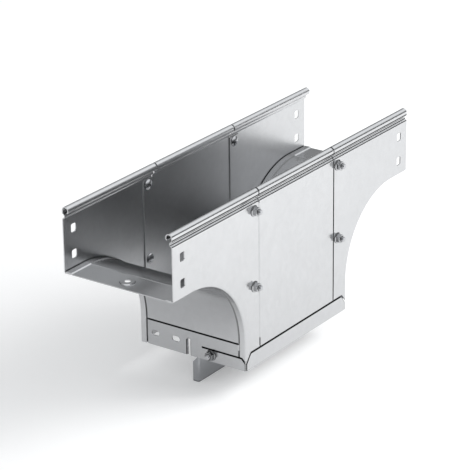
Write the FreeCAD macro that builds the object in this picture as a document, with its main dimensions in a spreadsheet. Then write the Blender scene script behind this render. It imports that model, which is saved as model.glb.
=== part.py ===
import FreeCAD, Part
import math
import os
import re
import Sketcher

# Cable tray tee with its branch going down, folded from galvanised sheet.
# X runs along the tray, Y across it and Z up. The origin is in the middle of the branch,
# midway between the side walls, on the underside of the tray's floor.
# "near" is the -X end, "front" is the -Y wall.

# Driving dimensions in millimetres, and what each one sets
SIZES = [
    ("tray_width", 150, "outside width of the channel"),
    ("tray_height", 80, "underside of the floor to the top of the rolled rim"),
    ("outlet_length", 210, "outside length of the downward outlet, along the tray"),
    ("corner_radius", 100, "radius of the swept corners between tray and outlet"),
    ("end_straight", 35, "straight floor beyond each swept corner"),
    ("floor_tail", 2, "straight floor below each swept corner"),
    ("plate_height", 30.7, "end plate below the floor, down to the end of the outlet"),
    ("gauge", 1.2, "thickness of the folded sheet"),
    ("bend_radius", 0.8, "inside radius of the flange bends"),
    ("flange_width", 8.4, "inward flange along the lower edge of each wing"),
    ("margin_clearance", 0.2, "floor margin to the inside bend of the flange"),
    ("curl_diameter", 9, "outside diameter of the rolled rim"),
    ("curl_close", 50, "degrees below level at which the curl ends"),
    ("bead_depth", 2.6, "depth of the bead pressed in below the rim"),
    ("bead_shoulder", 2.2, "outside radius of the bead's shoulders"),
    ("bead_hollow", 2.3, "outside radius of the bead's hollow"),
    ("bead_neck", 3, "flat between bead and curl"),
    ("joggle_run", 1.4, "length of the slope in each joggled lap"),
    ("edge_clearance", 0.9, "sheet edge to the slope or the sheet beside it"),
    ("seam_place", 77, "middle of the branch to each wall seam"),
    ("tab_reach", 18, "lap of the centre plate behind a wing"),
    ("tab_clearance", 1.5, "lap ends to the bead, the floor or the next lap"),
    ("slot_width", 8.6, "fixing slots in the wall ends, along the tray"),
    ("slot_length", 10.4, "fixing slots in the wall ends, overall height"),
    ("slot_corner", 2.2, "corner radius of the wall slots"),
    ("slot_inset", 17.5, "wall end to the middle of its slots"),
    ("slot_low", 18, "height of the lower wall slot"),
    ("slot_drop", 15.3, "bead down to the middle of the upper wall slot"),
    ("bolt_inset", 9, "seam to the middle of its bolts"),
    ("bolt_low", -36, "height of the lower seam bolt"),
    ("bolt_drop", 8.3, "bead down to the middle of the upper seam bolt"),
    ("bolt_diameter", 6, "thread outside diameter"),
    ("bolt_length", 12, "shank under the head"),
    ("bolt_hole", 6.6, "clearance holes for the bolts"),
    ("head_diameter", 13, "low bolt head"),
    ("head_crown", 7, "flat crown of the head"),
    ("head_height", 3.3, "low bolt head"),
    ("head_rim", 0.5, "straight rim of the head"),
    ("nut_flats", 10, "hexagon across its flats"),
    ("nut_height", 6, "flange nut overall"),
    ("nut_flange_diameter", 13.2, "flange of the nut"),
    ("nut_flange_height", 1.4, "flange of the nut"),
    ("thread_clearance", 0.05, "nut bore to thread, per side"),
    ("boss_diameter", 18.6, "foot of the raised boss round the floor hole"),
    ("boss_crown", 16.8, "flat top of the boss"),
    ("boss_rise", 1.4, "height of the boss over the floor"),
    ("boss_hole", 7.4, "hole in the boss"),
    ("boss_inset", 17, "tray end to the floor hole"),
    ("lap_height", 8, "lap of the end plate behind the floor"),
    ("end_tab_height", 7, "short lap of the end plate behind the front flange"),
    ("end_slot_width", 6.6, "level slots in the end plates"),
    ("end_slot_length", 11, "level slots in the end plates, overall"),
    ("end_slot_outer", 53.5, "middle to the outer level slot"),
    ("end_slot_inner", 24, "middle to the inner level slot"),
    ("end_slot_drop", 16, "end of the outlet up to the level slots"),
    ("notch_width", 3.8, "notch open at the end of the outlet, between its rims"),
    ("notch_height", 20.6, "notch, to its round top"),
    ("notch_place", 6, "middle to the notch, towards the rear"),
    ("notch_rim", 2.6, "depth of the inward rim round the notch, from the outer face"),
    ("tongue_height", 14.2, "strip that reaches across to the front corner"),
    ("slit_width", 1.8, "slit that frees the strip"),
    ("slit_end", 12.6, "middle to the closed end of the slit, towards the front"),
    ("corner_cut", 5, "cut-back of the strip and the flange at the front corner"),
    ("end_bolt_place", 26, "middle to the end bolt, towards the front"),
    ("end_bolt_rise", 8, "end of the outlet up to the end bolt"),
    ("collar_height", 19.2, "strip that ends the front wall"),
    ("collar_cut_along", 8.2, "sloped corner of the collar, along the tray"),
    ("collar_cut_down", 10.6, "sloped corner of the collar, downwards"),
    ("collar_lap", 10, "lap of the collar behind the front wall"),
    ("divider_gauge", 1.5, "thickness of the divider"),
    ("divider_place", 7.5, "middle to the divider's front face"),
    ("divider_reach", 31.8, "divider below the end of the outlet"),
    ("divider_foot", 8.4, "width of the flanges on its lower part"),
    ("foot_chamfer", 6.4, "height of the sloped top of a foot flange"),
    ("arm_height", 22, "arms that reach behind the end plates"),
    ("corner_gap", 1.8, "open corner between collar and strip"),
]

doc = FreeCAD.newDocument("CableTrayTee")
sheet = doc.addObject("Spreadsheet::Sheet", "Sizes")
for row, (alias, size, meaning) in enumerate(SIZES, start=1):
    sheet.set(f"A{row}", alias)
    sheet.set(f"B{row}", str(size))
    sheet.set(f"C{row}", meaning)
    sheet.setAlias(f"B{row}", alias)
doc.recompute()

ALIASES = {alias for alias, size, meaning in SIZES}
NEAR, FAR = -1, 1
FRONT, REAR = -1, 1
ENDS = {NEAR: "near", FAR: "far"}
SIDES = {FRONT: "front", REAR: "rear"}
PLANE_NORMALS = {"XY_Plane": 1, "XZ_Plane": -1, "YZ_Plane": 1}
sketch_planes = {}

# Places worked out from the driving dimensions, as formulas
HALF_WIDTH = "(tray_width / 2)"
HALF_LENGTH = "(outlet_length / 2 + corner_radius + end_straight)"
OUTLET_X = "(outlet_length / 2)"
ARC_X = "(outlet_length / 2 + corner_radius)"
ARC_Z = "(-corner_radius)"
JOINT_GAP = "(joggle_run + edge_clearance)"
SEAM_INSIDE = f"(seam_place - {JOINT_GAP} / 2)"
SEAM_OUTSIDE = f"(seam_place + {JOINT_GAP} / 2)"
KINK = "(sqrt(joggle_run^2 + gauge^2) - joggle_run)"
CURL_RADIUS = "(curl_diameter / 2)"
CURL_Z = "(tray_height - curl_diameter / 2)"
BEAD_REACH = "(bead_shoulder + bead_hollow)"
BEAD_SPAN = f"sqrt(bead_depth * (2 * {BEAD_REACH} - bead_depth))"
BEAD_Z = f"({CURL_Z} - bead_neck - {BEAD_SPAN})"
WALL_TOP = f"({BEAD_Z} - {BEAD_SPAN})"
LAP_Y = "(tray_width / 2 - flange_width - edge_clearance)"
FLUSH_Y = f"({LAP_Y} - joggle_run)"
MARGIN_Y = "(tray_width / 2 - gauge - bend_radius - margin_clearance)"
FLOOR_END = "(-corner_radius - floor_tail)"
PLATE_TOP = f"({FLOOR_END} - {JOINT_GAP})"
OUTLET_Z = f"({PLATE_TOP} - plate_height)"
COLLAR_TOP = f"({OUTLET_Z} + collar_height)"
FRONT_WALL_END = f"({COLLAR_TOP} + {JOINT_GAP})"
STRIP_TOP = f"({OUTLET_Z} + tongue_height)"
SLIT_TOP = f"({STRIP_TOP} + slit_width)"
SLOT_HIGH = f"({WALL_TOP} - slot_drop)"
BOLT_HIGH = f"({WALL_TOP} - bolt_drop)"
NOTCH_CENTRE_Z = f"({OUTLET_Z} + notch_height - notch_width / 2)"


def bound(formula):
    """Point each size named in a formula at its cell in the sheet."""
    return re.sub(r"[a-z_]+", lambda word: f"Sizes.{word.group()}"
                  if word.group() in ALIASES else word.group(), formula)


def value(formula):
    """The number that a formula gives now."""
    return float(sheet.evalExpression(formula))


def body_named(label):
    """A new empty body whose label is the sub-part's name."""
    body = doc.addObject("PartDesign::Body", label)
    body.Label = label
    return body


def origin_feature(body, role):
    """One of the body's own origin planes or axes."""
    for feature in body.Origin.OriginFeatures:
        if feature.Role == role:
            return feature
    raise ValueError(role)


def sketch_on(body, name, plane, at="0", shift=("0", "0")):
    """A sketch parallel to an origin plane, at a place along that plane's global axis."""
    sketch = body.newObject("Sketcher::SketchObject", f"{body.Name}_{name}")
    sketch.AttachmentSupport = [(origin_feature(body, plane), "")]
    sketch.MapMode = "FlatFace"
    sketch.setExpression("AttachmentOffset.Base.x", bound(shift[0]))
    sketch.setExpression("AttachmentOffset.Base.y", bound(shift[1]))
    sketch.setExpression("AttachmentOffset.Base.z", bound(f"{PLANE_NORMALS[plane]} * ({at})"))
    sketch_planes[sketch.Name] = plane
    return sketch


def fix(sketch, kind, formula, *places):
    """Add a dimension to the sketch and bind it to a formula."""
    index = sketch.addConstraint(Sketcher.Constraint(kind, *places, value(formula)))
    sketch.setExpression(f"Constraints[{index}]", bound(formula))


def outline(sketch, corners, arcs=None):
    """Closed outline through corners given as pairs of formulas.

    arcs maps the corner that an arc leaves to its centre and to "short" or "long".
    """
    arcs = arcs or {}
    places = [(value(x), value(y)) for x, y in corners]
    pieces = []
    for index, start in enumerate(places):
        stop = places[(index + 1) % len(places)]
        if index in arcs:
            centre = tuple(value(formula) for formula in arcs[index][:2])
            leave = math.atan2(start[1] - centre[1], start[0] - centre[0])
            arrive = math.atan2(stop[1] - centre[1], stop[0] - centre[0])
            middle = FreeCAD.Vector(*centre, 0)
            circle = Part.Circle(middle, FreeCAD.Vector(0, 0, 1), math.dist(start, centre))
            left_turn = ((arrive - leave) % math.tau < math.pi) == (arcs[index][2] == "short")
            angles = (leave, arrive) if left_turn else (arrive, leave)
            geometry = sketch.addGeometry(Part.ArcOfCircle(circle, *angles), False)
            pieces.append((geometry, 1, 2) if left_turn else (geometry, 2, 1))
        else:
            line = Part.LineSegment(FreeCAD.Vector(*start, 0), FreeCAD.Vector(*stop, 0))
            pieces.append((sketch.addGeometry(line, False), 1, 2))
    for index, (geometry, first, last) in enumerate(pieces):
        following = pieces[(index + 1) % len(pieces)]
        joint = (geometry, last, following[0], following[1])
        sketch.addConstraint(Sketcher.Constraint("Coincident", *joint))
        fix(sketch, "DistanceX", corners[index][0], geometry, first)
        fix(sketch, "DistanceY", corners[index][1], geometry, first)
        if index in arcs:
            across = f"({corners[index][0]} - {arcs[index][0]})"
            along = f"({corners[index][1]} - {arcs[index][1]})"
            fix(sketch, "Radius", f"sqrt({across}^2 + {along}^2)", geometry)


def round_hole(sketch, across, along, diameter):
    """Circle about a centre given by formulas."""
    circle = Part.Circle(FreeCAD.Vector(value(across), value(along), 0), FreeCAD.Vector(0, 0, 1),
                         value(diameter) / 2)
    geometry = sketch.addGeometry(circle, False)
    fix(sketch, "DistanceX", across, geometry, 3)
    fix(sketch, "DistanceY", along, geometry, 3)
    fix(sketch, "Diameter", diameter, geometry)


def level_slot(sketch, across, along, width, length):
    """Round-ended level slot about a centre."""
    radius = value(width) / 2
    reach = value(length) / 2 - radius
    middle = FreeCAD.Vector(value(across), value(along), 0)
    run = FreeCAD.Vector(reach, 0, 0)
    side = FreeCAD.Vector(0, radius, 0)
    ends = []
    for place, start in ((middle + run, -math.pi / 2), (middle - run, math.pi / 2)):
        circle = Part.Circle(place, FreeCAD.Vector(0, 0, 1), radius)
        ends.append(sketch.addGeometry(Part.ArcOfCircle(circle, start, start + math.pi), False))
    upper = Part.LineSegment(middle + run + side, middle - run + side)
    lower = Part.LineSegment(middle - run - side, middle + run - side)
    first_line = sketch.addGeometry(upper, False)
    second_line = sketch.addGeometry(lower, False)
    joints = ((ends[0], 2, first_line, 1), (first_line, 2, ends[1], 1),
              (ends[1], 2, second_line, 1), (second_line, 2, ends[0], 1))
    for joint in joints:
        sketch.addConstraint(Sketcher.Constraint("Tangent", *joint))
    for end, sign in zip(ends, ("+", "-")):
        fix(sketch, "DistanceX", f"{across} {sign} ({length} - {width}) / 2", end, 3)
        fix(sketch, "DistanceY", along, end, 3)
    fix(sketch, "Radius", f"{width} / 2", ends[0])
    sketch.addConstraint(Sketcher.Constraint("Equal", ends[0], ends[1]))


def cornered_slot(sketch, across, along, width, length, radius):
    """Upright slot with rounded corners about a centre."""
    corners = []
    centres = []
    for east, north in ((1, 1), (-1, 1), (-1, -1), (1, -1)):
        side = f"({across} + {east} * {width} / 2)"
        level = f"({along} + {north} * {length} / 2)"
        inner_side = f"({side} - {east} * {radius})"
        inner_level = f"({level} - {north} * {radius})"
        pair = [(side, inner_level), (inner_side, level)]
        corners += pair if east == north else pair[::-1]
        centres.append((inner_side, inner_level, "short"))
    outline(sketch, corners, {2 * index: centre for index, centre in enumerate(centres)})


def pad(body, sketch, length, toward):
    """Thicken a sketch by a length, towards + or - along the plane's global axis."""
    feature = body.newObject("PartDesign::Pad", f"{sketch.Name}_pad")
    feature.Profile = sketch
    feature.setExpression("Length", bound(length))
    feature.Reversed = toward != PLANE_NORMALS[sketch_planes[sketch.Name]]
    doc.recompute()
    return feature


def cut(body, sketch, length, toward):
    """Cut a sketch's outline out of the body, towards + or - along the plane's global axis."""
    before = body.Shape.Volume
    feature = body.newObject("PartDesign::Pocket", f"{sketch.Name}_cut")
    feature.Profile = sketch
    feature.setExpression("Length", bound(length))
    feature.Reversed = toward == PLANE_NORMALS[sketch_planes[sketch.Name]]
    doc.recompute()
    if not body.Shape.Volume < before:
        raise ValueError(f"{feature.Name} removed nothing")
    return feature


def revolve(body, sketch, axis):
    """Turn a half profile all the way round one of the sketch's own axes."""
    feature = body.newObject("PartDesign::Revolution", f"{sketch.Name}_turned")
    feature.Profile = sketch
    feature.ReferenceAxis = (sketch, [axis])
    feature.Angle = 360
    doc.recompute()
    return feature


def round_bend(body, name, radius, chosen):
    """Round every edge that the test picks out by three points along it."""
    edges = []
    for index, edge in enumerate(body.Shape.Edges, start=1):
        low, high = edge.ParameterRange
        points = [edge.valueAt(low + (high - low) * share) for share in (0.05, 0.5, 0.95)]
        if all(chosen(point) for point in points):
            edges.append(f"Edge{index}")
    base = body.Tip
    fillet = body.newObject("PartDesign::Fillet", f"{body.Name}_{name}")
    fillet.Base = (base, edges)
    fillet.setExpression("Radius", bound(radius))
    doc.recompute()
    return fillet


def repeat_upwards(body, features, length):
    """A second copy of the features, straight above the first."""
    pattern = body.newObject("PartDesign::LinearPattern", f"{body.Name}_pair")
    pattern.Originals = features
    pattern.Direction = (origin_feature(body, "Z_Axis"), [""])
    pattern.setExpression("Length", bound(length))
    pattern.Occurrences = 2
    body.Tip = pattern
    doc.recompute()


def wall_y(side, depth):
    """Place across the tray at a depth in from the outer face of a side wall."""
    return f"({side} * ({HALF_WIDTH} - ({depth})))"


def end_x(end, depth):
    """Place along the tray at a depth in from the outer face of an outlet end."""
    return f"({end} * ({OUTLET_X} - ({depth})))"


def rise(place):
    """How far a point lies above the lower edge line of the walls, measured square to it."""
    across = abs(place.x)
    if across >= value(ARC_X):
        return place.z
    if place.z <= value(ARC_Z):
        return value(OUTLET_X) - across
    return math.hypot(across - value(ARC_X), place.z - value(ARC_Z)) - value("corner_radius")


def on_bend(depth, height):
    """Test for points at a depth in from a wall's outer face and a height over its lower edge line."""
    return lambda place: (abs(abs(place.y) - value(f"{HALF_WIDTH} - ({depth})")) < 0.01
                          and abs(rise(place) - value(height)) < 0.01)


def rim(body, side, start, length):
    """Pressed bead and open rolled rim along the top of a wall."""
    sketch = sketch_on(body, "rim", "YZ_Plane", at=start)
    lower_z = f"({BEAD_Z} - {BEAD_SPAN})"
    upper_z = f"({BEAD_Z} + {BEAD_SPAN})"
    hollow_depth = "(bead_depth - bead_hollow)"

    def skin(offset):
        """Where the bead's arcs meet, for a skin at an offset in from the outer one."""
        radius = f"(bead_shoulder - {offset})"
        depth = f"(bead_shoulder - {radius} * ({BEAD_REACH} - bead_depth) / {BEAD_REACH})"
        reach = f"({radius} * {BEAD_SPAN} / {BEAD_REACH})"
        return (depth, f"({lower_z} + {reach})"), (depth, f"({upper_z} - {reach})")

    outer_low, outer_high = skin("0")
    inner_low, inner_high = skin("gauge")
    curl_inner = f"({CURL_RADIUS} - gauge)"
    tip = [(f"({CURL_RADIUS} + {radius} * cos(curl_close * 1deg))",
            f"({CURL_Z} - {radius} * sin(curl_close * 1deg))") for radius in (CURL_RADIUS, curl_inner)]
    corners = [("0", lower_z), outer_low, outer_high, ("0", upper_z), ("0", CURL_Z), tip[0], tip[1],
               ("gauge", CURL_Z), ("gauge", upper_z), inner_high, inner_low, ("gauge", lower_z)]
    low_centre = ("bead_shoulder", lower_z, "short")
    middle_centre = (hollow_depth, BEAD_Z, "short")
    high_centre = ("bead_shoulder", upper_z, "short")
    curl_centre = (CURL_RADIUS, CURL_Z, "long")
    arcs = {0: low_centre, 1: middle_centre, 2: high_centre, 4: curl_centre,
            6: curl_centre, 8: high_centre, 9: middle_centre, 10: low_centre}
    outline(sketch, [(wall_y(side, depth), height) for depth, height in corners],
            {index: (wall_y(side, depth), height, bulge) for index, (depth, height, bulge) in arcs.items()})
    pad(body, sketch, length, 1)


def wing(end, side):
    """Side wall beyond a seam: wall, rolled rim and swept inward flange folded from one sheet."""
    body = body_named(f"{SIDES[side]}_{ENDS[end]}_wing")
    outer = wall_y(side, "0")
    wall = sketch_on(body, "wall", "XZ_Plane", at=outer)
    corners = [(HALF_LENGTH, WALL_TOP), (HALF_LENGTH, "0"), (ARC_X, "0"), (OUTLET_X, ARC_Z),
               (OUTLET_X, OUTLET_Z), (SEAM_OUTSIDE, OUTLET_Z), (SEAM_OUTSIDE, WALL_TOP)]
    outline(wall, [(f"({end} * {x})", z) for x, z in corners], {2: (f"({end} * {ARC_X})", ARC_Z, "short")})
    pad(body, wall, "gauge", -side)
    flange = sketch_on(body, "flange", "XZ_Plane", at=outer)
    inner_x = f"({OUTLET_X} - gauge)"
    corners = [(HALF_LENGTH, "0"), (ARC_X, "0"), (OUTLET_X, ARC_Z), (OUTLET_X, OUTLET_Z),
               (inner_x, OUTLET_Z), (inner_x, ARC_Z), (ARC_X, "gauge"), (HALF_LENGTH, "gauge")]
    centre = (f"({end} * {ARC_X})", ARC_Z, "short")
    outline(flange, [(f"({end} * {x})", z) for x, z in corners], {1: centre, 5: centre})
    pad(body, flange, "flange_width", -side)
    start = SEAM_OUTSIDE if end == FAR else f"(-{HALF_LENGTH})"
    rim(body, side, start, f"{HALF_LENGTH} - {SEAM_OUTSIDE}")
    round_bend(body, "inside_bend", "bend_radius", on_bend("gauge", "gauge"))
    round_bend(body, "outside_bend", "bend_radius + gauge", on_bend("0", "0"))
    holes = sketch_on(body, "holes", "XZ_Plane")
    slot_x = f"({end} * ({HALF_LENGTH} - slot_inset))"
    bolt_x = f"({end} * (seam_place + bolt_inset))"
    for height in ("slot_low", SLOT_HIGH):
        cornered_slot(holes, slot_x, height, "slot_width", "slot_length", "slot_corner")
    for height in ("bolt_low", BOLT_HIGH):
        round_hole(holes, bolt_x, height, "bolt_hole")
    cut(body, holes, "tray_width", side)
    if side == FRONT:
        trim_for_collar(body, end)


def trim_for_collar(body, end):
    """End a front wing above the collar, in a point at the outlet's corner."""
    fold = "(gauge + bend_radius)"
    low = f"({OUTLET_Z} - gauge)"
    slope_x = f"({OUTLET_X} - collar_cut_along)"
    slope_z = f"({FRONT_WALL_END} - collar_cut_down)"
    wall = sketch_on(body, "collar_edge", "XZ_Plane", at=wall_y(FRONT, "0"))
    corners = [(SEAM_INSIDE, FRONT_WALL_END), (slope_x, FRONT_WALL_END), (OUTLET_X, slope_z),
               (f"({OUTLET_X} + gauge)", slope_z), (f"({OUTLET_X} + gauge)", low), (SEAM_INSIDE, low)]
    outline(wall, [(f"({end} * {x})", z) for x, z in corners])
    cut(body, wall, fold, -FRONT)
    flange = sketch_on(body, "strip_edge", "YZ_Plane", at=end_x(end, "0"))
    beyond = "(flange_width + gauge)"
    corners = [(beyond, SLIT_TOP), ("corner_cut", SLIT_TOP), ("0", f"({SLIT_TOP} - corner_cut)"),
               ("-gauge", f"({SLIT_TOP} - corner_cut)"), ("-gauge", low), (beyond, low)]
    outline(flange, [(wall_y(FRONT, depth), z) for depth, z in corners])
    cut(body, flange, fold, -end)


def centre_plate(side):
    """Middle of a side wall, with joggled laps that reach behind both wings."""
    body = body_named(f"{SIDES[side]}_centre_plate")
    bottom = FRONT_WALL_END if side == FRONT else OUTLET_Z
    slope_end = f"({SEAM_INSIDE} + joggle_run)"
    lap_end = "(seam_place + tab_reach)"
    half = [(lap_end, "gauge"), (slope_end, "gauge"), (SEAM_INSIDE, "0")]
    back = [(f"({SEAM_INSIDE} - {KINK})", "gauge"), (f"({slope_end} - {KINK})", "(2 * gauge)"),
            (lap_end, "(2 * gauge)")]
    front_skin = [(f"(-{x})", depth) for x, depth in half] + half[::-1]
    back_skin = back[::-1] + [(f"(-{x})", depth) for x, depth in back]
    plan = sketch_on(body, "plan", "XY_Plane", at=bottom)
    outline(plan, [(x, wall_y(side, depth)) for x, depth in front_skin + back_skin])
    pad(body, plan, f"{WALL_TOP} - {bottom}", 1)
    rim(body, side, f"(-{SEAM_INSIDE})", f"2 * {SEAM_INSIDE}")
    lap_low = f"({COLLAR_TOP} + joggle_run + collar_lap + tab_clearance)" if side == FRONT else \
        f"({OUTLET_Z} + tab_clearance)"
    trims = sketch_on(body, "lap_trims", "XZ_Plane")
    for sign in (-1, 1):
        for low, high in ((f"({bottom} - gauge)", lap_low),
                          (f"({WALL_TOP} - tab_clearance)", f"({WALL_TOP} + gauge)")):
            corners = [(SEAM_INSIDE, low), (f"({lap_end} + gauge)", low),
                       (f"({lap_end} + gauge)", high), (SEAM_INSIDE, high)]
            outline(trims, [(f"({sign} * {x})", z) for x, z in corners])
    cut(body, trims, "tray_width", side)
    if side == FRONT:
        relief = sketch_on(body, "collar_relief", "XZ_Plane", at=wall_y(FRONT, "gauge"))
        low = f"({bottom} - gauge)"
        outline(relief, [(f"(-{lap_end})", low), (lap_end, low),
                         (lap_end, lap_low), (f"(-{lap_end})", lap_low)])
        cut(body, relief, "2 * gauge", -FRONT)
    holes = sketch_on(body, "holes", "XZ_Plane")
    for sign in (-1, 1):
        for height in ("bolt_low", BOLT_HIGH):
            round_hole(holes, f"({sign} * (seam_place + bolt_inset))", height, "bolt_hole")
    cut(body, holes, "tray_width", side)


def swept_floor(end):
    """Floor tongue that sweeps down into the outlet, flush between the wing flanges."""
    body = body_named(f"{ENDS[end]}_floor")
    profile = sketch_on(body, "section", "YZ_Plane", at=f"{end} * {HALF_LENGTH}")
    under = [(FLUSH_Y, "0"), (LAP_Y, "gauge"), (MARGIN_Y, "gauge")]
    over = [(MARGIN_Y, "(2 * gauge)"), (f"({LAP_Y} - {KINK})", "(2 * gauge)"),
            (f"({FLUSH_Y} - {KINK})", "gauge")]
    ring = under + over
    outline(profile, ring + [(f"(-{y})", z) for y, z in ring[::-1]])
    path = sketch_on(body, "path", "XZ_Plane")
    route = [(f"({end} * {x})", z) for x, z in
             ((HALF_LENGTH, "0"), (ARC_X, "0"), (OUTLET_X, ARC_Z), (OUTLET_X, FLOOR_END))]
    open_path(path, route, (f"({end} * {ARC_X})", ARC_Z))
    pipe = body.newObject("PartDesign::AdditivePipe", f"{body.Name}_sweep")
    pipe.Profile = profile
    pipe.Spine = (path, [])
    pipe.Mode = "Frenet"
    doc.recompute()
    boss_x = f"({end} * ({HALF_LENGTH} - boss_inset))"
    clearing = sketch_on(body, "boss_clearing", "XY_Plane")
    round_hole(clearing, boss_x, "0", "boss_diameter")
    cut(body, clearing, "gauge", 1)
    boss = sketch_on(body, "boss", "XZ_Plane", shift=(boss_x, "0"))
    lip = "(boss_diameter / 2 + gauge)"
    outline(boss, [("(boss_hole / 2)", "boss_rise"), ("(boss_crown / 2 - gauge)", "boss_rise"),
                   ("(boss_diameter / 2 - gauge)", "0"), (lip, "0"), (lip, "gauge"),
                   ("(boss_diameter / 2)", "gauge"), ("(boss_crown / 2)", "(gauge + boss_rise)"),
                   ("(boss_hole / 2)", "(gauge + boss_rise)")])
    revolve(body, boss, "V_Axis")


def open_path(sketch, route, centre):
    """Line, quarter arc and line joined end to end."""
    places = [FreeCAD.Vector(value(x), value(z), 0) for x, z in route]
    middle = FreeCAD.Vector(value(centre[0]), value(centre[1]), 0)
    leave = math.atan2(places[1].y - middle.y, places[1].x - middle.x)
    arrive = math.atan2(places[2].y - middle.y, places[2].x - middle.x)
    left_turn = (arrive - leave) % math.tau < math.pi
    circle = Part.Circle(middle, FreeCAD.Vector(0, 0, 1), (places[1] - middle).Length)
    level = sketch.addGeometry(Part.LineSegment(places[0], places[1]), False)
    angles = (leave, arrive) if left_turn else (arrive, leave)
    arc = sketch.addGeometry(Part.ArcOfCircle(circle, *angles), False)
    upright = sketch.addGeometry(Part.LineSegment(places[2], places[3]), False)
    first, last = (1, 2) if left_turn else (2, 1)
    sketch.addConstraint(Sketcher.Constraint("Coincident", level, 2, arc, first))
    sketch.addConstraint(Sketcher.Constraint("Coincident", arc, last, upright, 1))
    for geometry, point, place in ((level, 1, 0), (level, 2, 1), (upright, 1, 2), (upright, 2, 3)):
        fix(sketch, "DistanceX", route[place][0], geometry, point)
        fix(sketch, "DistanceY", route[place][1], geometry, point)
    fix(sketch, "Radius", "corner_radius", arc)


def end_plate(end):
    """Lower end of the outlet between the flanges, with a strip freed by a slit."""
    body = body_named(f"{ENDS[end]}_end_plate")
    face = sketch_on(body, "face", "YZ_Plane", at=end_x(end, "0"))
    strip_y = f"({HALF_WIDTH} - corner_gap)"
    slit_middle = f"({STRIP_TOP} + slit_width / 2)"
    corners = [(FLUSH_Y, PLATE_TOP), (FLUSH_Y, OUTLET_Z), (f"(-{strip_y})", OUTLET_Z),
               (f"(-{strip_y})", f"({STRIP_TOP} - corner_cut)"),
               (f"(corner_cut - {strip_y})", STRIP_TOP),
               ("(-slit_end - slit_width / 2)", STRIP_TOP), ("(-slit_end)", slit_middle),
               ("(-slit_end - slit_width / 2)", SLIT_TOP), (f"(-{FLUSH_Y})", SLIT_TOP),
               (f"(-{FLUSH_Y})", PLATE_TOP)]
    slit_centre = ("(-slit_end - slit_width / 2)", slit_middle, "short")
    outline(face, corners, {5: slit_centre, 6: slit_centre})
    pad(body, face, "gauge", -end)
    behind_floor(body, end)
    behind_flange(body, end, REAR, f"({OUTLET_Z} + edge_clearance)", f"({PLATE_TOP} + edge_clearance)")
    behind_flange(body, end, FRONT, f"({PLATE_TOP} - end_tab_height)", f"({PLATE_TOP} + edge_clearance)")
    rim_sketch = sketch_on(body, "notch_rim", "YZ_Plane", at=end_x(end, "0"))
    notch_outline(rim_sketch, "gauge", "0")
    pad(body, rim_sketch, "notch_rim", -end)
    notch = sketch_on(body, "notch", "YZ_Plane", at=end_x(end, "0"))
    notch_outline(notch, "0", "gauge")
    cut(body, notch, "2 * notch_rim", -end)
    round_bend(body, "notch_mouth", "bend_radius + gauge", by_notch("0", "0"))
    round_bend(body, "notch_back", "bend_radius", by_notch("gauge", "gauge"))
    holes = sketch_on(body, "holes", "YZ_Plane", at=end_x(end, "0"))
    for place in ("end_slot_outer", "end_slot_inner"):
        level_slot(holes, place, f"({OUTLET_Z} + end_slot_drop)", "end_slot_width", "end_slot_length")
    round_hole(holes, "(-end_bolt_place)", f"({OUTLET_Z} + end_bolt_rise)", "bolt_hole")
    cut(body, holes, "2 * gauge", -end)


def notch_outline(sketch, grow, drop):
    """Round-topped notch, grown by one size all round and run out below the plate by another."""
    radius = f"(notch_width / 2 + {grow})"
    low = f"({OUTLET_Z} - {drop})"
    corners = [(f"(notch_place - {radius})", low), (f"(notch_place + {radius})", low),
               (f"(notch_place + {radius})", NOTCH_CENTRE_Z),
               ("notch_place", f"({NOTCH_CENTRE_Z} + {radius})"),
               (f"(notch_place - {radius})", NOTCH_CENTRE_Z)]
    centre = ("notch_place", NOTCH_CENTRE_Z, "short")
    outline(sketch, corners, {2: centre, 3: centre})


def by_notch(depth, grow):
    """Test for points at a depth in from an end plate and a distance out from the notch's edge."""
    far = value(f"notch_width / 2 + {grow}")
    top = value(NOTCH_CENTRE_Z)

    def chosen(place):
        across = place.y - value("notch_place")
        out = math.hypot(across, max(place.z - top, 0))
        return abs(abs(place.x) - value(f"{OUTLET_X} - ({depth})")) < 0.01 and abs(out - far) < 0.01

    return chosen


def behind_floor(body, end):
    """Joggled lap up behind the lower edge of the swept floor."""
    lap = sketch_on(body, "floor_lap", "XZ_Plane", at=f"(-({FLUSH_Y} - {KINK} - edge_clearance))")
    corners = [("0", f"({PLATE_TOP} - gauge)"), ("0", PLATE_TOP), ("gauge", f"({PLATE_TOP} + joggle_run)"),
               ("gauge", f"({PLATE_TOP} + lap_height)"), ("(2 * gauge)", f"({PLATE_TOP} + lap_height)"),
               ("(2 * gauge)", f"({PLATE_TOP} + joggle_run - {KINK})"), ("gauge", f"({PLATE_TOP} - {KINK})"),
               ("gauge", f"({PLATE_TOP} - gauge)")]
    outline(lap, [(end_x(end, depth), z) for depth, z in corners])
    pad(body, lap, f"2 * ({FLUSH_Y} - {KINK} - edge_clearance)", 1)


def behind_flange(body, end, side, low, high):
    """Joggled lap behind the flange of a wing, between two heights."""
    lap = sketch_on(body, f"{SIDES[side]}_lap", "XY_Plane", at=low)
    corners = [(f"({FLUSH_Y} - gauge)", "0"), (FLUSH_Y, "0"), (LAP_Y, "gauge"), (MARGIN_Y, "gauge"),
               (MARGIN_Y, "(2 * gauge)"), (f"({LAP_Y} - {KINK})", "(2 * gauge)"),
               (f"({FLUSH_Y} - {KINK})", "gauge"), (f"({FLUSH_Y} - gauge)", "gauge")]
    outline(lap, [(end_x(end, depth), f"({side} * {y})") for y, depth in corners])
    pad(body, lap, f"{high} - {low}", 1)


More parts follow.
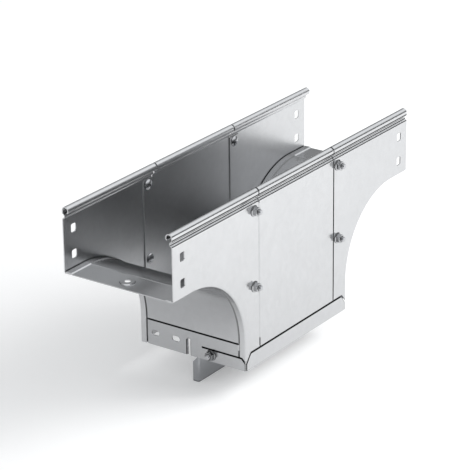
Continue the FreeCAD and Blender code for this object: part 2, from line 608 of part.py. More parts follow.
def front_collar():
    """Strip that ends the front wall, with sloped corners and a lap behind the wall."""
    body = body_named("front_collar")
    face = sketch_on(body, "face", "XZ_Plane", at=wall_y(FRONT, "0"))
    edge_x = f"({OUTLET_X} - corner_gap)"
    half = [(edge_x, OUTLET_Z), (edge_x, f"({COLLAR_TOP} - collar_cut_down)"),
            (f"({edge_x} - collar_cut_along)", COLLAR_TOP)]
    outline(face, half + [(f"(-{x})", z) for x, z in half[::-1]])
    pad(body, face, "gauge", -FRONT)
    lap_end = f"({edge_x} - collar_cut_along - tab_clearance)"
    lap = sketch_on(body, "lap", "YZ_Plane", at=f"(-{lap_end})")
    lap_top = f"({COLLAR_TOP} + joggle_run + collar_lap)"
    corners = [("0", f"({COLLAR_TOP} - gauge)"), ("0", COLLAR_TOP), ("gauge", f"({COLLAR_TOP} + joggle_run)"),
               ("gauge", lap_top), ("(2 * gauge)", lap_top),
               ("(2 * gauge)", f"({COLLAR_TOP} + joggle_run - {KINK})"), ("gauge", f"({COLLAR_TOP} - {KINK})"),
               ("gauge", f"({COLLAR_TOP} - gauge)")]
    outline(lap, [(wall_y(FRONT, depth), z) for depth, z in corners])
    pad(body, lap, f"2 * {lap_end}", 1)


def folded_plan(body, name, outer_y, turn, tip_y, low, high):
    """Plate across the outlet with a rounded fold at both ends, between two heights."""
    plan = sketch_on(body, name, "XY_Plane", at=low)
    end = f"({OUTLET_X} - gauge)"
    radius = "(bend_radius + divider_gauge)"
    bend_x = f"({end} - {radius})"
    bend_y = f"({outer_y} + {turn} * {radius})"
    outside = [(bend_x, outer_y), (end, bend_y), (end, tip_y)]
    inside = [(f"({end} - divider_gauge)", tip_y), (f"({end} - divider_gauge)", bend_y),
              (bend_x, f"({outer_y} + {turn} * divider_gauge)")]
    half = outside + inside
    far_bend = (bend_x, bend_y, "short")
    near_bend = (f"(-{bend_x})", bend_y, "short")
    outline(plan, half + [(f"(-{x})", y) for x, y in half[::-1]],
            {0: far_bend, 4: far_bend, 6: near_bend, 10: near_bend})
    pad(body, plan, f"{high} - {low}", 1)


def branch_divider():
    """Plate down the middle of the outlet, with arms behind the end plates and feet below them."""
    body = body_named("branch_divider")
    front_y = "(-divider_place)"
    rear_y = "(divider_gauge - divider_place)"
    foot_y = "(divider_foot - divider_place)"
    arm_y = f"(-({HALF_WIDTH} - 2 * gauge - edge_clearance))"
    arm_low = f"({OUTLET_Z} + edge_clearance)"
    foot_top = f"({OUTLET_Z} - edge_clearance)"
    folded_plan(body, "feet", front_y, 1, foot_y, f"({OUTLET_Z} - divider_reach)", foot_top)
    folded_plan(body, "arms", rear_y, -1, arm_y, arm_low, f"({OUTLET_Z} + arm_height)")
    web = sketch_on(body, "web", "XZ_Plane", at=front_y)
    web_x = f"({OUTLET_X} - gauge - bend_radius - divider_gauge)"
    web_low, web_high = f"({foot_top} - gauge)", f"({arm_low} + gauge)"
    outline(web, [(f"(-{web_x})", web_low), (web_x, web_low), (web_x, web_high), (f"(-{web_x})", web_high)])
    pad(body, web, "divider_gauge", 1)
    slope = sketch_on(body, "foot_slopes", "YZ_Plane", at=f"(-{OUTLET_X})")
    slope_y = f"({rear_y} + bend_radius)"
    beyond = f"({foot_y} + gauge)"
    outline(slope, [(slope_y, foot_top), (foot_y, f"({foot_top} - foot_chamfer)"),
                    (beyond, f"({foot_top} - foot_chamfer)"), (beyond, f"({foot_top} + gauge)"),
                    (slope_y, f"({foot_top} + gauge)")])
    cut(body, slope, "outlet_length", 1)
    holes = sketch_on(body, "holes", "YZ_Plane", at=f"(-{OUTLET_X})")
    round_hole(holes, "(-end_bolt_place)", f"({OUTLET_Z} + end_bolt_rise)", "bolt_hole")
    cut(body, holes, "outlet_length", 1)


def bolt_profile(out):
    """Half profile of a low-headed bolt as pairs of radius and place along the axis.

    out turns a distance outwards from the head's seat into a place.
    """
    return [("0", out("-head_height")), ("(head_crown / 2)", out("-head_height")),
            ("(head_diameter / 2)", out("-head_rim")), ("(head_diameter / 2)", out("0")),
            ("(bolt_diameter / 2)", out("0")), ("(bolt_diameter / 2)", out("bolt_length")),
            ("0", out("bolt_length"))]


def seam_bolts(end, side):
    """Pair of bolts through a seam, heads inside the tray."""
    body = body_named(f"{SIDES[side]}_{ENDS[end]}_bolts")
    profile = sketch_on(body, "profile", "XY_Plane", at="bolt_low",
                        shift=(f"{end} * (seam_place + bolt_inset)", "0"))
    outline(profile, bolt_profile(lambda run: wall_y(side, f"2 * gauge - {run}")))
    turned = revolve(body, profile, "V_Axis")
    repeat_upwards(body, [turned], f"{BOLT_HIGH} - bolt_low")


def end_bolt(end):
    """Bolt through the divider's arm and the end plate's strip."""
    body = body_named(f"{ENDS[end]}_end_bolt")
    profile = sketch_on(body, "profile", "XY_Plane", at=f"({OUTLET_Z} + end_bolt_rise)",
                        shift=("0", "(-end_bolt_place)"))
    half = bolt_profile(lambda run: end_x(end, f"gauge + divider_gauge - {run}"))
    outline(profile, [(along, radius) for radius, along in half])
    revolve(body, profile, "H_Axis")


def nut_features(body, plane, seat, centre, toward):
    """Hexagon and flange of a nut seated on an outer face, bored for its bolt."""
    bore = "(bolt_diameter + 2 * thread_clearance)"
    hexagon = sketch_on(body, "hexagon", plane, at=seat)
    reach = "(nut_flats / sqrt(3))"
    corners = []
    for angle in range(30, 390, 60):
        across = f"({centre[0]} + {reach} * cos({angle}deg))"
        corners.append((across, f"({centre[1]} + {reach} * sin({angle}deg))"))
    outline(hexagon, corners)
    round_hole(hexagon, *centre, bore)
    flange = sketch_on(body, "flange", plane, at=seat)
    round_hole(flange, *centre, "nut_flange_diameter")
    round_hole(flange, *centre, bore)
    return [pad(body, hexagon, "nut_height", toward), pad(body, flange, "nut_flange_height", toward)]


def seam_nuts(end, side):
    """Pair of flange nuts on the outside of a seam."""
    body = body_named(f"{SIDES[side]}_{ENDS[end]}_nuts")
    centre = (f"({end} * (seam_place + bolt_inset))", "bolt_low")
    features = nut_features(body, "XZ_Plane", wall_y(side, "0"), centre, side)
    repeat_upwards(body, features, f"{BOLT_HIGH} - bolt_low")


def end_nut(end):
    """Flange nut on the outside of an end plate."""
    body = body_named(f"{ENDS[end]}_end_nut")
    centre = ("(-end_bolt_place)", f"({OUTLET_Z} + end_bolt_rise)")
    nut_features(body, "YZ_Plane", end_x(end, "0"), centre, end)


for side in (FRONT, REAR):
    centre_plate(side)
    for end in (NEAR, FAR):
        wing(end, side)
        seam_bolts(end, side)
        seam_nuts(end, side)
for end in (NEAR, FAR):
    swept_floor(end)
    end_plate(end)
    end_bolt(end)
    end_nut(end)
front_collar()
branch_divider()
doc.recompute()

# Every object has to be sound before anything is written
for item in doc.Objects:
    if "Invalid" in item.State or "Error" in item.State:
        raise ValueError(f"{item.Label} failed: {item.State}")
bodies = [item for item in doc.Objects if item.TypeId == "PartDesign::Body"]
for body in bodies:
    if body.Shape.isNull() or not body.Shape.isValid():
        raise ValueError(f"{body.Label} has no sound shape")

os.makedirs("parts", exist_ok=True)
for body in bodies:
    body.Shape.exportStep(f"parts/{body.Label}.step")
    print(body.Label, len(body.Shape.Solids), round(body.Shape.Volume, 1))
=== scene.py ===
import math

import bpy
from mathutils import Matrix, Vector

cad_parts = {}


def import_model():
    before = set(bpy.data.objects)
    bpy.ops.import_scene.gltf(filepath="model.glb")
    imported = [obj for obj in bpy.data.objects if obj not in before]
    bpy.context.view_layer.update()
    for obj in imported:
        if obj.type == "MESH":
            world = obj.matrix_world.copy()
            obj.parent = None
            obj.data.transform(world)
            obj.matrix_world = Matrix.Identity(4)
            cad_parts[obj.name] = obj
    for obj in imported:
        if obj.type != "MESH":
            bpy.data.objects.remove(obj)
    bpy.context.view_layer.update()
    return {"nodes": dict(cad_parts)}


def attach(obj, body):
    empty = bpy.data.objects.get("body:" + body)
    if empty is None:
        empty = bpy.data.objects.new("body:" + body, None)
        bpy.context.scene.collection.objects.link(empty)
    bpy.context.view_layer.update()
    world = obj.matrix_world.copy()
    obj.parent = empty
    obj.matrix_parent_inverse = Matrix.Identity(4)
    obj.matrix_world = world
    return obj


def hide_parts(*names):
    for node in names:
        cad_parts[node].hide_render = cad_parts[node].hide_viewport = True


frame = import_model()
nodes = frame["nodes"]

# The photograph's view, in metres and degrees
AZIMUTH = -54.76
ELEVATION = 22.48
ROLL = -0.66
FOCAL_PIXELS = 2393.97
FRAME_PIXELS = 470
CAMERA_DISTANCE = 2.7921
AIM_RIGHT = -0.0101
AIM_UP = -0.0183
SENSOR_MM = 36

# Sizes of the part in millimetres
MM = 0.001
HALF_WIDTH = 75
OUTLET_X = 105
OUTLET_Z = -135
ARC_X = 205
GAUGE = 1.2
DIVIDER_GAUGE = 1.5
FAR_SEAM = 76.8
FLOOR_Z = -166.8
BOLT_X = 86
BOLT_HEIGHTS = (-36, 56.04)
END_BOLT = (-26, OUTLET_Z + 8)

# Fasteners in millimetres
BOLT_RADIUS = 3
BOLT_LENGTH = 12
THREAD_PITCH = 1.0
THREAD_DEPTH = 0.58
HEAD_RADIUS = 6.5
HEAD_HEIGHT = 3.3
HEAD_RIM = 0.5
NUT_APOTHEM = 5
NUT_HEIGHT = 6
NUT_FLANGE_RADIUS = 6.6
NUT_FLANGE_RIM = 0.7
NUT_BORE_RADIUS = 3.05
NUT_BORE_CHAMFER = 0.45
DOME_STEPS = 14
BOLT_COLUMNS = 40
NUT_COLUMNS = 72

# Heights of the joint lines, where shade is painted, in millimetres
PLATE_JOINT_Z = -103.2
COLLAR_JOINT_Z = -115
SLIT_Z = -119.9
STRIP_CORNER_Z = -125.6
COLLAR_CORNER_Z = -126

# Colours of the metals; the end plate, swept floor, divider and end nut colours are darker copies that
# paint shade, and the rear wall colour is a lighter copy that paints light
SHEET_TINT = (0.6, 0.605, 0.613)
MATT_LIT_TINT = (0.63, 0.635, 0.643)
SHADED_TINT = (0.52, 0.525, 0.535)
DIVIDER_SHADE_TINT = (0.37, 0.38, 0.395)
BOLT_TINT = (0.5, 0.505, 0.52)
NUT_TINT = (0.46, 0.465, 0.475)
END_NUT_SHADE_TINT = (0.26, 0.265, 0.27)
SKY_TINT = (0.97, 0.985, 1, 1)

# Shares of the metal's colour that are left where shade is painted: in crevices, along grooves and on the
# swept sheet
CREVICE_SHADE_GREY = 0.06
WALL_CREVICE_SHADE_GREY = 0.5
GROOVE_SHADE_GREY = 0.03
SWEPT_SIDE_SHADE_GREY = 0.42
SWEPT_TOP_SHADE_GREY = 0.75

# Roughness of the sheet, and of the duller rear wall
SHEET_ROUGHNESS = 0.2
MATT_ROUGHNESS = 0.3


def camera():
    """Camera at the photograph's viewing angle."""
    azimuth, elevation, roll = map(math.radians, (AZIMUTH, ELEVATION, ROLL))
    back = Vector((math.sin(azimuth) * math.cos(elevation), -math.cos(azimuth) * math.cos(elevation),
                   math.sin(elevation)))
    right = Vector((math.cos(azimuth), math.sin(azimuth), 0))
    up = back.cross(right)
    rolled_right = right * math.cos(roll) + up * math.sin(roll)
    rolled_up = up * math.cos(roll) - right * math.sin(roll)
    data = bpy.data.cameras.new("camera")
    data.sensor_width = SENSOR_MM
    data.lens = SENSOR_MM * FOCAL_PIXELS / FRAME_PIXELS
    data.clip_start = 0.05
    data.clip_end = 50
    item = bpy.data.objects.new("camera", data)
    place = rolled_right * AIM_RIGHT + rolled_up * AIM_UP + back * CAMERA_DISTANCE
    turn = Matrix((rolled_right, rolled_up, back)).transposed()
    item.matrix_world = Matrix.Translation(place) @ turn.to_4x4()
    bpy.context.scene.collection.objects.link(item)
    bpy.context.scene.camera = item


def material(name):
    """New node material with its tree and shader."""
    item = bpy.data.materials.new(name)
    item.use_nodes = True
    tree = item.node_tree
    return item, tree, tree.nodes["Principled BSDF"]


def node(tree, kind, **sockets):
    """Add a shader node and set its inputs by name."""
    item = tree.nodes.new(kind)
    for name, setting in sockets.items():
        item.inputs[name.replace("_", " ")].default_value = setting
    return item


def grey_ramp(tree, source, stops):
    """Colour ramp from a source socket, with grey stops as (place, grey)."""
    item = tree.nodes.new("ShaderNodeValToRGB")
    while len(item.color_ramp.elements) < len(stops):
        item.color_ramp.elements.new(0.5)
    for element, (place, grey) in zip(item.color_ramp.elements, stops):
        element.position = place
        element.color = (grey, grey, grey, 1)
    tree.links.new(source, item.inputs["Fac"])
    return item.outputs["Color"]


def multiply(tree, first, second):
    """Product of two colour sockets."""
    item = tree.nodes.new("ShaderNodeMix")
    item.data_type = "RGBA"
    item.blend_type = "MULTIPLY"
    item.inputs["Factor"].default_value = 1.0
    tree.links.new(first, item.inputs["A"])
    tree.links.new(second, item.inputs["B"])
    return item.outputs["Result"]


def stretched_noise(tree, place, scale, detail):
    """Noise stretched by a scale along each axis."""
    mapping = tree.nodes.new("ShaderNodeMapping")
    mapping.inputs["Scale"].default_value = scale
    tree.links.new(place, mapping.inputs["Vector"])
    noise = node(tree, "ShaderNodeTexNoise", Scale=1.0, Detail=detail, Roughness=0.55)
    tree.links.new(mapping.outputs["Vector"], noise.inputs["Vector"])
    return noise.outputs["Fac"]


def vector_math(tree, operation, first, second=None):
    """Vector maths node with sockets or fixed vectors as inputs."""
    item = tree.nodes.new("ShaderNodeVectorMath")
    item.operation = operation
    for socket, given in zip(item.inputs, (first, second)):
        if isinstance(given, bpy.types.NodeSocket):
            tree.links.new(given, socket)
        elif given is not None:
            socket.default_value = given
    return item


def number_math(tree, operation, first, second=None):
    """Maths node with sockets or numbers as inputs."""
    item = tree.nodes.new("ShaderNodeMath")
    item.operation = operation
    for socket, given in zip(item.inputs, (first, second)):
        if isinstance(given, bpy.types.NodeSocket):
            tree.links.new(given, socket)
        elif given is not None:
            socket.default_value = given
    return item.outputs[0]


def groove_painted_shade(tree, place, grooves, grey):
    """Painted shade: white away from the grooves and grey in them; each is a line with a radius, in
    millimetres.
    """
    tone = None
    for start, end, radius in grooves:
        first = Vector(start) * MM
        along = (Vector(end) - Vector(start)) * MM
        offset = vector_math(tree, "SUBTRACT", place, first).outputs["Vector"]
        reach = vector_math(tree, "DOT_PRODUCT", offset, along / along.length_squared).outputs["Value"]
        share = number_math(tree, "MINIMUM", number_math(tree, "MAXIMUM", reach, 0.0), 1.0)
        nearest = vector_math(tree, "SCALE", along)
        tree.links.new(share, nearest.inputs["Scale"])
        away = vector_math(tree, "DISTANCE", offset, nearest.outputs["Vector"]).outputs["Value"]
        far = number_math(tree, "DIVIDE", away, radius * MM)
        shade = grey_ramp(tree, number_math(tree, "MULTIPLY", far, 0.5), ((0.42, grey), (0.56, 1.0)))
        tone = multiply(tree, tone, shade) if tone else shade
    return tone


def swept_painted_shade(tree, place, side_shade_grey, top_shade_grey):
    """Painted shade on the steps at the sides of the swept sheet and on its upward top face; white on the
    straight floor.
    """
    facing_side = tree.nodes.new("ShaderNodeSeparateXYZ")
    normal = tree.nodes.new("ShaderNodeNewGeometry").outputs["Normal"]
    tree.links.new(normal, facing_side.inputs[0])
    where = tree.nodes.new("ShaderNodeSeparateXYZ")
    tree.links.new(place, where.inputs[0])
    swept = number_math(tree, "LESS_THAN", number_math(tree, "ABSOLUTE", where.outputs["X"]), ARC_X * MM)
    steep = number_math(tree, "GREATER_THAN", number_math(tree, "ABSOLUTE", facing_side.outputs["Y"]), 0.3)
    upward = number_math(tree, "GREATER_THAN", facing_side.outputs["Z"], 0.05)
    sides = grey_ramp(tree, number_math(tree, "MULTIPLY", steep, swept), ((0.0, 1.0), (1.0, side_shade_grey)))
    top = grey_ramp(tree, number_math(tree, "MULTIPLY", upward, swept), ((0.0, 1.0), (1.0, top_shade_grey)))
    return multiply(tree, sides, top)


def metal(name, tint, roughness, spangle_scale, spangle_contrast, crevice_shade=CREVICE_SHADE_GREY, bevel=0.0003,
          grooves=(), swept=False):
    """Coated metal: spangle, faint streaks, rounded bright edges, and painted shade in crevices, along
    grooves and on the swept sheet.
    """
    item, tree, shader = material(name)
    links = tree.links
    place = tree.nodes.new("ShaderNodeTexCoord").outputs["Object"]
    spangle = node(tree, "ShaderNodeTexVoronoi", Scale=spangle_scale)
    links.new(place, spangle.inputs["Vector"])
    flake = grey_ramp(tree, spangle.outputs["Color"], ((0.0, 1 - spangle_contrast), (1.0, 1.0)))
    cloud = node(tree, "ShaderNodeTexNoise", Scale=14.0, Detail=5.0, Roughness=0.6)
    links.new(place, cloud.inputs["Vector"])
    wash = grey_ramp(tree, cloud.outputs["Fac"], ((0.3, 0.95), (0.7, 1.0)))
    # Painted shade: the occlusion node darkens the colour in crevices and corners
    occlusion = node(tree, "ShaderNodeAmbientOcclusion", Distance=0.0035)
    occlusion.samples = 12
    crevice_shade_tone = grey_ramp(tree, occlusion.outputs["AO"], ((0.4, crevice_shade), (0.8, 1.0)))
    tone = multiply(tree, multiply(tree, flake, wash), crevice_shade_tone)
    # Painted shade along the grooves
    if grooves:
        tone = multiply(tree, tone, groove_painted_shade(tree, place, grooves, GROOVE_SHADE_GREY))
    # Painted shade on the swept sheet's side steps and top face
    if swept:
        tone = multiply(tree, tone, swept_painted_shade(tree, place, SWEPT_SIDE_SHADE_GREY, SWEPT_TOP_SHADE_GREY))
    base = tree.nodes.new("ShaderNodeRGB")
    base.outputs[0].default_value = (*tint, 1)
    links.new(multiply(tree, tone, base.outputs[0]), shader.inputs["Base Color"])
    rough = node(tree, "ShaderNodeMapRange", To_Min=roughness - 0.04, To_Max=roughness + 0.05)
    links.new(cloud.outputs["Fac"], rough.inputs["Value"])
    links.new(rough.outputs["Result"], shader.inputs["Roughness"])
    rounded = node(tree, "ShaderNodeBevel", Radius=bevel)
    rounded.samples = 4
    bump = node(tree, "ShaderNodeBump", Strength=0.03, Distance=0.0002)
    links.new(stretched_noise(tree, place, (9.0, 9.0, 320.0), 4.0), bump.inputs["Height"])
    links.new(rounded.outputs["Normal"], bump.inputs["Normal"])
    links.new(bump.outputs["Normal"], shader.inputs["Normal"])
    shader.inputs["Metallic"].default_value = 1.0
    return item


def sheet(name, tint=SHEET_TINT, grooves=(), crevice_shade=CREVICE_SHADE_GREY, swept=False, roughness=SHEET_ROUGHNESS):
    """Galvanised sheet, with painted shade along the grooves where pieces meet."""
    return metal(name, tint, roughness, 170.0, 0.05, crevice_shade=crevice_shade, grooves=grooves, swept=swept)


def plate_grooves(end):
    """Lines of painted shade along the joint, slit, open corner and notch of an end plate, in millimetres.
    """
    face = end * OUTLET_X
    behind = end * (OUTLET_X - 0.6)
    joint = [((face, -64, PLATE_JOINT_Z), (face, 64, PLATE_JOINT_Z), 1.2)]
    slit = [((behind, -14, SLIT_Z), (behind, -68, SLIT_Z), 1.35)]
    corner = [((behind, -68.2, -120.2), (behind, -73.6, STRIP_CORNER_Z), 1.0),
              ((behind, -74.4, STRIP_CORNER_Z), (behind, -74.4, OUTLET_Z), 1.4)]
    notch = [((face, across, OUTLET_Z), (face, across, -116.4), 0.8) for across in (3.4, 8.6)]
    notch += [((face, across, -115.8), (face, 6, -113.9), 0.8) for across in (3.7, 8.3)]
    return joint + slit + corner + notch


def collar_grooves(end):
    """Lines of painted shade along the sloped corner, open corner and top edge of the front collar, in
    millimetres.
    """
    behind = 0.4 - HALF_WIDTH
    return [((end * 95.4, behind, COLLAR_JOINT_Z - 0.2), (end * 103.8, behind, COLLAR_CORNER_Z), 1.1),
            ((end * 104, behind, COLLAR_CORNER_Z), (end * 104, behind, OUTLET_Z), 1.3),
            ((0, behind, COLLAR_JOINT_Z), (end * 95, behind, COLLAR_JOINT_Z), 1.3)]


def bead_shade_lines():
    """Lines of painted shade along the creases of the pressed bead under the front rim, in millimetres."""
    return [((-240, -depth, height), (240, -depth, height), radius)
            for depth, height, radius in ((75, 72.9, 0.75), (72.6, 67.4, 0.6), (74.7, 65.4, 0.55))]


def assign(names, item):
    """Give CAD nodes one material."""
    for name in names:
        for slot in nodes[name].material_slots:
            slot.material = item


def world(front, back, horizon, spread):
    """Surroundings seen and mirrored as pale in front and darker behind, with even spread light."""
    item = bpy.data.worlds.new("studio")
    bpy.context.scene.world = item
    item.use_nodes = True
    tree = item.node_tree
    lit = tree.nodes["Background"]
    direction = tree.nodes.new("ShaderNodeTexCoord").outputs["Generated"]
    split = tree.nodes.new("ShaderNodeSeparateXYZ")
    tree.links.new(direction, split.inputs[0])
    across = node(tree, "ShaderNodeMapRange", From_Min=0.0, From_Max=0.5, To_Min=front, To_Max=back)
    across.interpolation_type = "SMOOTHSTEP"
    tree.links.new(split.outputs["Y"], across.inputs["Value"])
    lit.inputs["Color"].default_value = SKY_TINT
    upward = node(tree, "ShaderNodeMapRange", From_Min=0.17, From_Max=0.5, To_Min=horizon, To_Max=1.0)
    upward.interpolation_type = "SMOOTHSTEP"
    tree.links.new(split.outputs["Z"], upward.inputs["Value"])
    strength = number_math(tree, "MULTIPLY", across.outputs["Result"], upward.outputs["Result"])
    tree.links.new(strength, lit.inputs["Strength"])
    even = node(tree, "ShaderNodeBackground", Color=SKY_TINT, Strength=spread)
    path = tree.nodes.new("ShaderNodeLightPath")
    mix = tree.nodes.new("ShaderNodeMixShader")
    tree.links.new(path.outputs["Is Diffuse Ray"], mix.inputs[0])
    tree.links.new(lit.outputs[0], mix.inputs[1])
    tree.links.new(even.outputs[0], mix.inputs[2])
    tree.links.new(mix.outputs[0], tree.nodes["World Output"].inputs["Surface"])


def area_lamp(name, place, target, size, power):
    """Soft rectangular lamp aimed at a point."""
    data = bpy.data.lights.new(name, "AREA")
    data.shape = "RECTANGLE"
    data.size, data.size_y = size
    data.energy = power
    item = bpy.data.objects.new(name, data)
    direction = Vector(target) - Vector(place)
    item.rotation_mode = "QUATERNION"
    item.rotation_quaternion = direction.to_track_quat("-Z", "Y")
    item.location = place
    item.visible_camera = False
    item.visible_glossy = False
    bpy.context.scene.collection.objects.link(item)


def studio_floor(grey, glow):
    """Plain pale floor under the divider, lifted where it is seen or mirrored and clear from below."""
    half = 4.0
    mesh = bpy.data.meshes.new("studio_floor")
    corners = [(-half, -half, 0), (half, -half, 0), (half, half, 0), (-half, half, 0)]
    mesh.from_pydata(corners, [], [(0, 1, 2, 3)])
    item = bpy.data.objects.new("studio_floor", mesh)
    item.location = (0, 0, FLOOR_Z * MM)
    bpy.context.scene.collection.objects.link(item)
    paint, tree, shader = material("studio_floor")
    path = tree.nodes.new("ShaderNodeLightPath")
    seen = path.outputs["Is Camera Ray"]
    for kind in ("Is Glossy Ray", "Is Transmission Ray"):
        seen = number_math(tree, "MAXIMUM", seen, path.outputs[kind])
    tree.links.new(number_math(tree, "MULTIPLY", seen, glow), shader.inputs["Emission Strength"])
    shader.inputs["Emission Color"].default_value = (1, 1, 1, 1)
    shader.inputs["Base Color"].default_value = (grey, grey, grey, 1)
    shader.inputs["Roughness"].default_value = 0.9
    shader.inputs["Specular IOR Level"].default_value = 0.0
    clear = tree.nodes.new("ShaderNodeBsdfTransparent")
    mix = tree.nodes.new("ShaderNodeMixShader")
    tree.links.new(tree.nodes.new("ShaderNodeNewGeometry").outputs["Backfacing"], mix.inputs[0])
    tree.links.new(shader.outputs[0], mix.inputs[1])
    tree.links.new(clear.outputs[0], mix.inputs[2])
    tree.links.new(mix.outputs[0], tree.nodes["Material Output"].inputs["Surface"])
    mesh.materials.append(paint)


def turned(rows, columns, radius):
    """Vertices and faces of a skin round the z axis, with its radius given by angle and row."""
    points = []
    for row in range(len(rows)):
        for column in range(columns):
            angle = math.tau * column / columns
            reach = radius(angle, row)
            points.append((reach * math.cos(angle), reach * math.sin(angle), rows[row]))
    faces = []
    for row in range(len(rows) - 1):
        for column in range(columns):
            after = (column + 1) % columns
            faces.append((row * columns + column, row * columns + after,
                          (row + 1) * columns + after, (row + 1) * columns + column))
    return points, faces


def bolt_shape():
    """Low domed head below its seat and a threaded shank above it, along z."""
    dome_radius = (HEAD_RADIUS ** 2 + (HEAD_HEIGHT - HEAD_RIM) ** 2) / (2 * (HEAD_HEIGHT - HEAD_RIM))
    reach = math.asin(HEAD_RADIUS / dome_radius)
    profile = []
    for index in range(DOME_STEPS + 1):
        angle = reach * (0.02 + 0.98 * index / DOME_STEPS)
        drop = dome_radius * (1 - math.cos(angle))
        profile.append((dome_radius * math.sin(angle), drop - HEAD_HEIGHT))
    profile += [(HEAD_RADIUS, -0.1), (HEAD_RADIUS - 0.1, 0), (BOLT_RADIUS, 0)]
    head_rows = len(profile)
    step = THREAD_PITCH / 10
    chamfer = 0.9
    rows = [height for reach, height in profile]
    rows += [step * index for index in range(1, round(BOLT_LENGTH / step) + 1)]

    def radius(angle, row):
        if row < head_rows:
            return profile[row][0]
        height = rows[row]
        turn = (height / THREAD_PITCH - angle / math.tau) % 1
        depth = THREAD_DEPTH * max(0, min(1, 2.5 * abs(turn - 0.5) - 0.125))
        end = BOLT_RADIUS - THREAD_DEPTH - 0.15 + max(0, BOLT_LENGTH - height)
        return min(BOLT_RADIUS - depth, end) if BOLT_LENGTH - height < chamfer else BOLT_RADIUS - depth

    points, faces = turned(rows, BOLT_COLUMNS, radius)
    faces.append(tuple(range(BOLT_COLUMNS))[::-1])
    faces.append(tuple(len(points) - BOLT_COLUMNS + column for column in range(BOLT_COLUMNS)))
    return points, faces


def nut_shape():
    """Flange nut standing on z = 0: sloped flange, hexagon with chamfered corners and a bore."""
    flange_slope = 2.1
    heights = [0, 0.12, NUT_FLANGE_RIM]
    heights += [NUT_FLANGE_RIM + 0.09 * index for index in range(1, 11)]
    heights += [2.2, 4.4, 5.0, 5.3, 5.5, 5.65, 5.8, 5.9, NUT_HEIGHT]
    bore = [(NUT_BORE_RADIUS + NUT_BORE_CHAMFER, NUT_HEIGHT),
            (NUT_BORE_RADIUS, NUT_HEIGHT - NUT_BORE_CHAMFER), (NUT_BORE_RADIUS, 0)]
    rows = heights + [height for reach, height in bore]

    def radius(angle, row):
        if row >= len(heights):
            return bore[row - len(heights)][0]
        height = heights[row]
        side = (angle + math.pi / 6) % (math.pi / 3) - math.pi / 6
        hexagon = NUT_APOTHEM / math.cos(side)
        crown = NUT_APOTHEM * 0.96 + (NUT_HEIGHT - height) * 1.9
        flange = NUT_FLANGE_RADIUS - max(0, height - NUT_FLANGE_RIM) * flange_slope
        if height == 0:
            flange = NUT_FLANGE_RADIUS - 0.12
        return max(min(hexagon, crown), flange)

    return turned(rows, NUT_COLUMNS, radius)


def fastener(name, shape, places, paint):
    """One piece made of copies of a shape, each moved by a matrix."""
    points, faces = shape
    all_points = []
    all_faces = []
    for place in places:
        first = len(all_points)
        all_points += [(place @ Vector(point)) * MM for point in points]
        all_faces += [tuple(first + index for index in face) for face in faces]
    mesh = bpy.data.meshes.new(name)
    mesh.from_pydata([tuple(point) for point in all_points], [], all_faces)
    mesh.polygons.foreach_set("use_smooth", [True] * len(mesh.polygons))
    mesh.set_sharp_from_angle(angle=math.radians(28))
    mesh.materials.append(paint)
    item = bpy.data.objects.new(name, mesh)
    bpy.context.scene.collection.objects.link(item)
    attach(item, "root")
    return item


def creases(paint):
    """Low ridge across each floor where it starts to sweep down."""
    profile = ((-0.9, 0), (0.1, 0.4), (0.5, 0))
    reach = 64
    for end, name in ((-1, "near"), (1, "far")):
        points = [((end * (ARC_X - along)) * MM, side * reach * MM, (GAUGE + up) * MM)
                  for side in (-1, 1) for along, up in profile]
        mesh = bpy.data.meshes.new(f"{name}_crease")
        mesh.from_pydata(points, [], [(0, 1, 4, 3), (1, 2, 5, 4), (2, 0, 3, 5), (0, 2, 1), (3, 4, 5)])
        mesh.materials.append(paint)
        item = bpy.data.objects.new(f"{name}_crease", mesh)
        bpy.context.scene.collection.objects.link(item)
        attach(item, "root")


def facing(direction, origin):
    """Matrix that turns z to a direction and moves the origin."""
    turn = Vector(direction).to_track_quat("Z", "Y").to_matrix().to_4x4()
    return Matrix.Translation(origin) @ turn


def fasteners(bolt_paint, nut_paint, end_nut_paint):
    """Threaded bolts and flange nuts in place of the plain ones."""
    bolt = bolt_shape()
    nut = nut_shape()
    for side, side_name in ((-1, "front"), (1, "rear")):
        for end, end_name in ((-1, "near"), (1, "far")):
            seats = [facing((0, side, 0), (end * BOLT_X, side * (HALF_WIDTH - 2 * GAUGE), height))
                     for height in BOLT_HEIGHTS]
            faces = [facing((0, side, 0), (end * BOLT_X, side * HALF_WIDTH, height))
                     for height in BOLT_HEIGHTS]
            piece = fastener(f"threaded_{side_name}_{end_name}_bolts", bolt, seats,
                             bolt_paint)
            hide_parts(f"{side_name}_{end_name}_bolts")
            piece = fastener(f"flange_{side_name}_{end_name}_nuts", nut, faces, nut_paint)
            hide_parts(f"{side_name}_{end_name}_nuts")
    across, height = END_BOLT
    for end, end_name in ((-1, "near"), (1, "far")):
        seat = facing((end, 0, 0), (end * (OUTLET_X - GAUGE - DIVIDER_GAUGE), across, height))
        face = facing((end, 0, 0), (end * OUTLET_X, across, height))
        piece = fastener(f"threaded_{end_name}_end_bolt", bolt, [seat], bolt_paint)
        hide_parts(f"{end_name}_end_bolt")
        piece = fastener(f"flange_{end_name}_end_nut", nut, [face], end_nut_paint)
        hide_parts(f"{end_name}_end_nut")


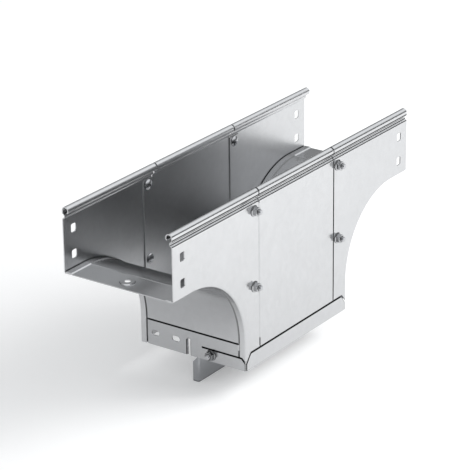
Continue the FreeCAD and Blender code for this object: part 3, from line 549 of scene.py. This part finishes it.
bpy.context.scene.view_settings.view_transform = "Standard"
camera()
world(front=1.27, back=0.6, horizon=0.12, spread=0.65)
studio_floor(grey=0.9, glow=0.2)
area_lamp("key", place=(2.2, -2.1, 2.1), target=(0.1, -0.1, -0.17), size=(2.0, 2.0), power=80)
area_lamp("fill", place=(0.2, -0.75, 0.45), target=(0.12, -0.22, -0.17), size=(0.4, 0.4), power=1.7)

# Default sheet, with painted shade in crevices
galvanised = sheet("galvanised_sheet")
zinc = metal("zinc_bolts", BOLT_TINT, 0.22, 700.0, 0.06, bevel=0.0001)
dull_zinc = metal("zinc_nuts", NUT_TINT, 0.16, 700.0, 0.1, bevel=0.00015)
# End nuts: a darker copy of the zinc colour, painted shade
shaded_zinc = metal("zinc_end_nuts", END_NUT_SHADE_TINT, 0.2, 700.0, 0.1, bevel=0.00015)
assign([name for name in nodes if not name.endswith(("bolt", "bolts", "nut", "nuts"))], galvanised)
# Lines of painted shade along the far seams of both walls
front_seam, rear_seam = [[((FAR_SEAM, side * (HALF_WIDTH - 0.8), -110),
                           (FAR_SEAM, side * (HALF_WIDTH - 0.8), 64), 1.2)] for side in (-1, 1)]
# Rear wall: a lighter copy of the sheet colour, painted light, with painted shade along the far seam and
# in crevices
assign(["rear_centre_plate", "rear_far_wing"],
       sheet("galvanised_rear", MATT_LIT_TINT, rear_seam, WALL_CREVICE_SHADE_GREY, roughness=MATT_ROUGHNESS))
# Front centre plate: painted shade along the far seam and the bead creases, and in crevices
assign(["front_centre_plate"],
       sheet("galvanised_front", grooves=front_seam + bead_shade_lines(), crevice_shade=WALL_CREVICE_SHADE_GREY))
# Rear near wing: the lighter copy of the sheet colour, painted light, with painted shade in crevices
assign(["rear_near_wing"],
       sheet("galvanised_near", MATT_LIT_TINT, crevice_shade=WALL_CREVICE_SHADE_GREY, roughness=MATT_ROUGHNESS))
# Front collar: painted shade along its corners and top edge
assign(["front_collar"], sheet("galvanised_collar", grooves=collar_grooves(-1) + collar_grooves(1)))
slits = plate_grooves(-1)[1:2] + plate_grooves(1)[1:2]
# Divider: a darker copy of the sheet colour, painted shade, with painted shade along the slits
assign(["branch_divider"], sheet("galvanised_divider", DIVIDER_SHADE_TINT, slits))
for end, end_name in ((-1, "near"), (1, "far")):
    around_plate = plate_grooves(end)
    beside_plate = around_plate[1:4] + collar_grooves(end)[:2] + bead_shade_lines()
    # End plates: a darker copy of the sheet colour, painted shade, with painted shade along the joint,
    # slit, corner and notch
    assign([f"{end_name}_end_plate"], sheet(f"galvanised_{end_name}_plate", SHADED_TINT, around_plate))
    # Front wings: painted shade along the slit, the corners and the bead creases, and in crevices
    assign([f"front_{end_name}_wing"],
           sheet(f"galvanised_{end_name}_corner", grooves=beside_plate, crevice_shade=WALL_CREVICE_SHADE_GREY))
# Swept floors: a darker copy of the sheet colour, painted shade, with painted shade on the swept sheet
assign(["near_floor", "far_floor"], sheet("galvanised_swept", SHADED_TINT, swept=True))
creases(galvanised)
fasteners(zinc, dull_zinc, shaded_zinc)
